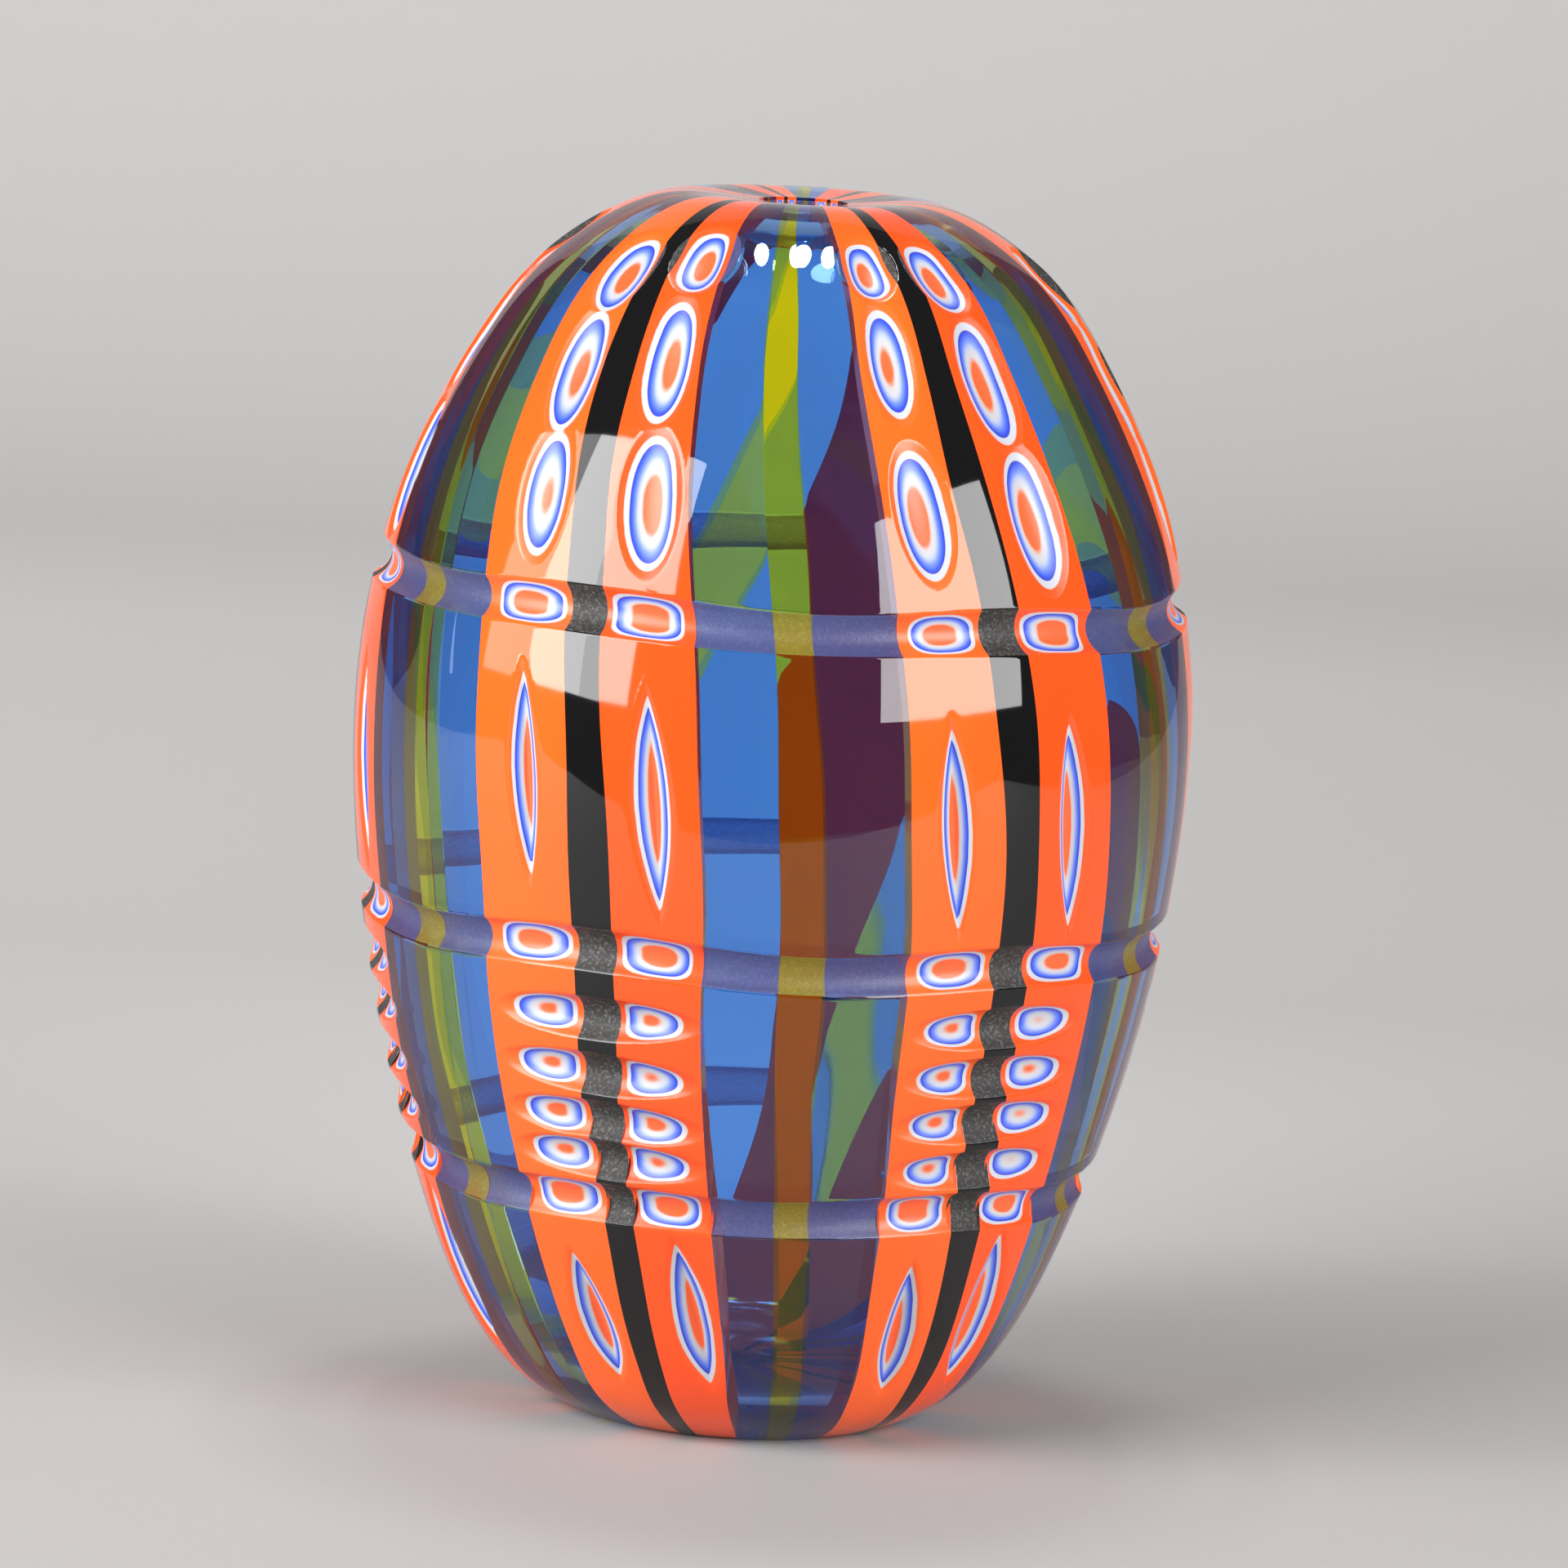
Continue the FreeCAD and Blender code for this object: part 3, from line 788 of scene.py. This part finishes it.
def stage_material():
    """Matt paper with painted light and shade: darker at the front and paler towards the back."""
    nodes = Nodes("studio_paper_painted_light")
    depth = nodes.add("ShaderNodeSeparateXYZ")
    nodes.link(nodes.place(), depth.inputs[0])
    away = nodes.span(depth.outputs["Y"], 0.0, STAGE_BACK, smooth=False)
    # painted light and shade: the brightness of the paper from the front to the back
    stops = [(at, (*(part * shade for part in PAPER_WARMTH), 1.0)) for at, shade in PAPER_PAINTED_LIGHT]
    color = nodes.ramp(away, stops)
    fibre = nodes.noise(900.0, 3.0)
    shader = nodes.principled(Base_Color=color, Roughness=0.75, Normal=nodes.bump(fibre, 0.0002, 0.15))
    return nodes.finish(shader.outputs[0])


floor = bpy.data.objects.new("studio_floor", stage_mesh())
bpy.context.collection.objects.link(floor)
floor.data.materials.append(stage_material())

SUBJECT = np.array([0.0, 0.0, 0.19])
BOX_RADIANCE = 9.5
# Name, azimuth, distance, left, right, low and high side, radiance.
SOFTBOXES = [
    ("softbox_left_far", -40.0, 1.5, -1.035, -0.58, 0.02, 0.86, 0.45 * BOX_RADIANCE),
    ("softbox_left_middle", -40.0, 1.5, -0.58, -0.22, 0.02, 0.86, 1.4 * BOX_RADIANCE),
    ("softbox_left", -40.0, 1.5, -0.22, 0.035, 0.02, 0.86, 1.05 * BOX_RADIANCE),
    ("softbox_left_end", -40.0, 1.5, 0.035, 0.18, 0.3, 0.86, BOX_RADIANCE),
    ("softbox_right", 53.0, 1.5, -0.445, 0.296, 0.02, 0.67, BOX_RADIANCE),
]
CEILING = 1.75
LAMP_WIDTH, LAMP_LENGTH, LAMP_RADIANCE = 0.09, 0.36, 30.0
LAMP_PLACES = [(-0.195, 0.377), (0.0, 0.347), (0.143, 0.364)]


def softbox(name, azimuth, distance, left, right, low, high, radiance):
    """Upright rectangle that faces the vase. Its sides are tangents of the angle from its own normal."""
    turn = math.radians(azimuth)
    outward = np.array([math.sin(turn), -math.cos(turn), 0.0])
    across = np.array([math.cos(turn), math.sin(turn), 0.0])
    centre = SUBJECT + distance * (outward + across * (left + right) / 2 + np.array([0, 0, (low + high) / 2]))
    light = bpy.data.lights.new(name, "AREA")
    light.shape = "RECTANGLE"
    light.size, light.size_y = distance * (right - left), distance * (high - low)
    light.energy = radiance * math.pi * light.size * light.size_y
    lamp = bpy.data.objects.new(name, light)
    lamp.location = centre
    lamp.rotation_euler = (math.pi / 2, 0.0, turn)
    bpy.context.collection.objects.link(lamp)


for box in SOFTBOXES:
    softbox(*box)


def ceiling_lamp(name, x, y, width, length, radiance):
    """Oval lamp that looks straight down."""
    light = bpy.data.lights.new(name, "AREA")
    light.shape = "ELLIPSE"
    light.size, light.size_y = width, length
    light.energy = radiance * math.pi * math.pi / 4 * width * length
    lamp = bpy.data.objects.new(name, light)
    lamp.location = (x, y, CEILING)
    bpy.context.collection.objects.link(lamp)


for number, (x, y) in enumerate(LAMP_PLACES, start=1):
    ceiling_lamp(f"ceiling_lamp_{number}", x, y, LAMP_WIDTH, LAMP_LENGTH, LAMP_RADIANCE)

ROOM_COLOR, ROOM_STRENGTH = (0.9, 0.95, 1.0, 1.0), 0.08
PALE_COLOR = (0.55, 0.54, 0.53, 1.0)


def dim_room():
    """World that is dim where the glass shows it, and pale where it is looked at past the floor."""
    world = bpy.data.worlds.new("dim_room")
    bpy.context.scene.world = world
    world.use_nodes = True
    room = world.node_tree
    room.nodes["Background"].inputs["Color"].default_value = ROOM_COLOR
    room.nodes["Background"].inputs["Strength"].default_value = ROOM_STRENGTH
    pale = room.nodes.new("ShaderNodeBackground")
    pale.inputs["Color"].default_value = PALE_COLOR
    path = room.nodes.new("ShaderNodeLightPath")
    either = room.nodes.new("ShaderNodeMixShader")
    room.links.new(path.outputs["Is Camera Ray"], either.inputs[0])
    room.links.new(room.nodes["Background"].outputs[0], either.inputs[1])
    room.links.new(pale.outputs[0], either.inputs[2])
    room.links.new(either.outputs[0], room.nodes["World Output"].inputs["Surface"])


# Place, tilt, roll and lens of the camera, from a least-squares fit to the vase's outline.
CAMERA_PLACE = (0.0033, -1.838, 0.4258)
CAMERA_DOWN = math.radians(8.809)
CAMERA_ROLL = math.radians(3.413)
SENSOR_WIDTH, LENS = 36.0, 191.64


def photo_camera():
    """Camera that looks along +Y, tilted down and rolled."""
    data = bpy.data.cameras.new("photo_camera")
    data.sensor_width, data.lens = SENSOR_WIDTH, LENS
    camera = bpy.data.objects.new("photo_camera", data)
    camera.location = CAMERA_PLACE
    camera.rotation_mode = "QUATERNION"
    level = Euler((math.pi / 2 - CAMERA_DOWN, 0.0, 0.0)).to_quaternion()
    camera.rotation_quaternion = level @ Quaternion((0.0, 0.0, 1.0), CAMERA_ROLL)
    bpy.context.collection.objects.link(camera)
    bpy.context.scene.camera = camera


dim_room()
photo_camera()
bpy.context.scene.view_settings.view_transform = "Standard"
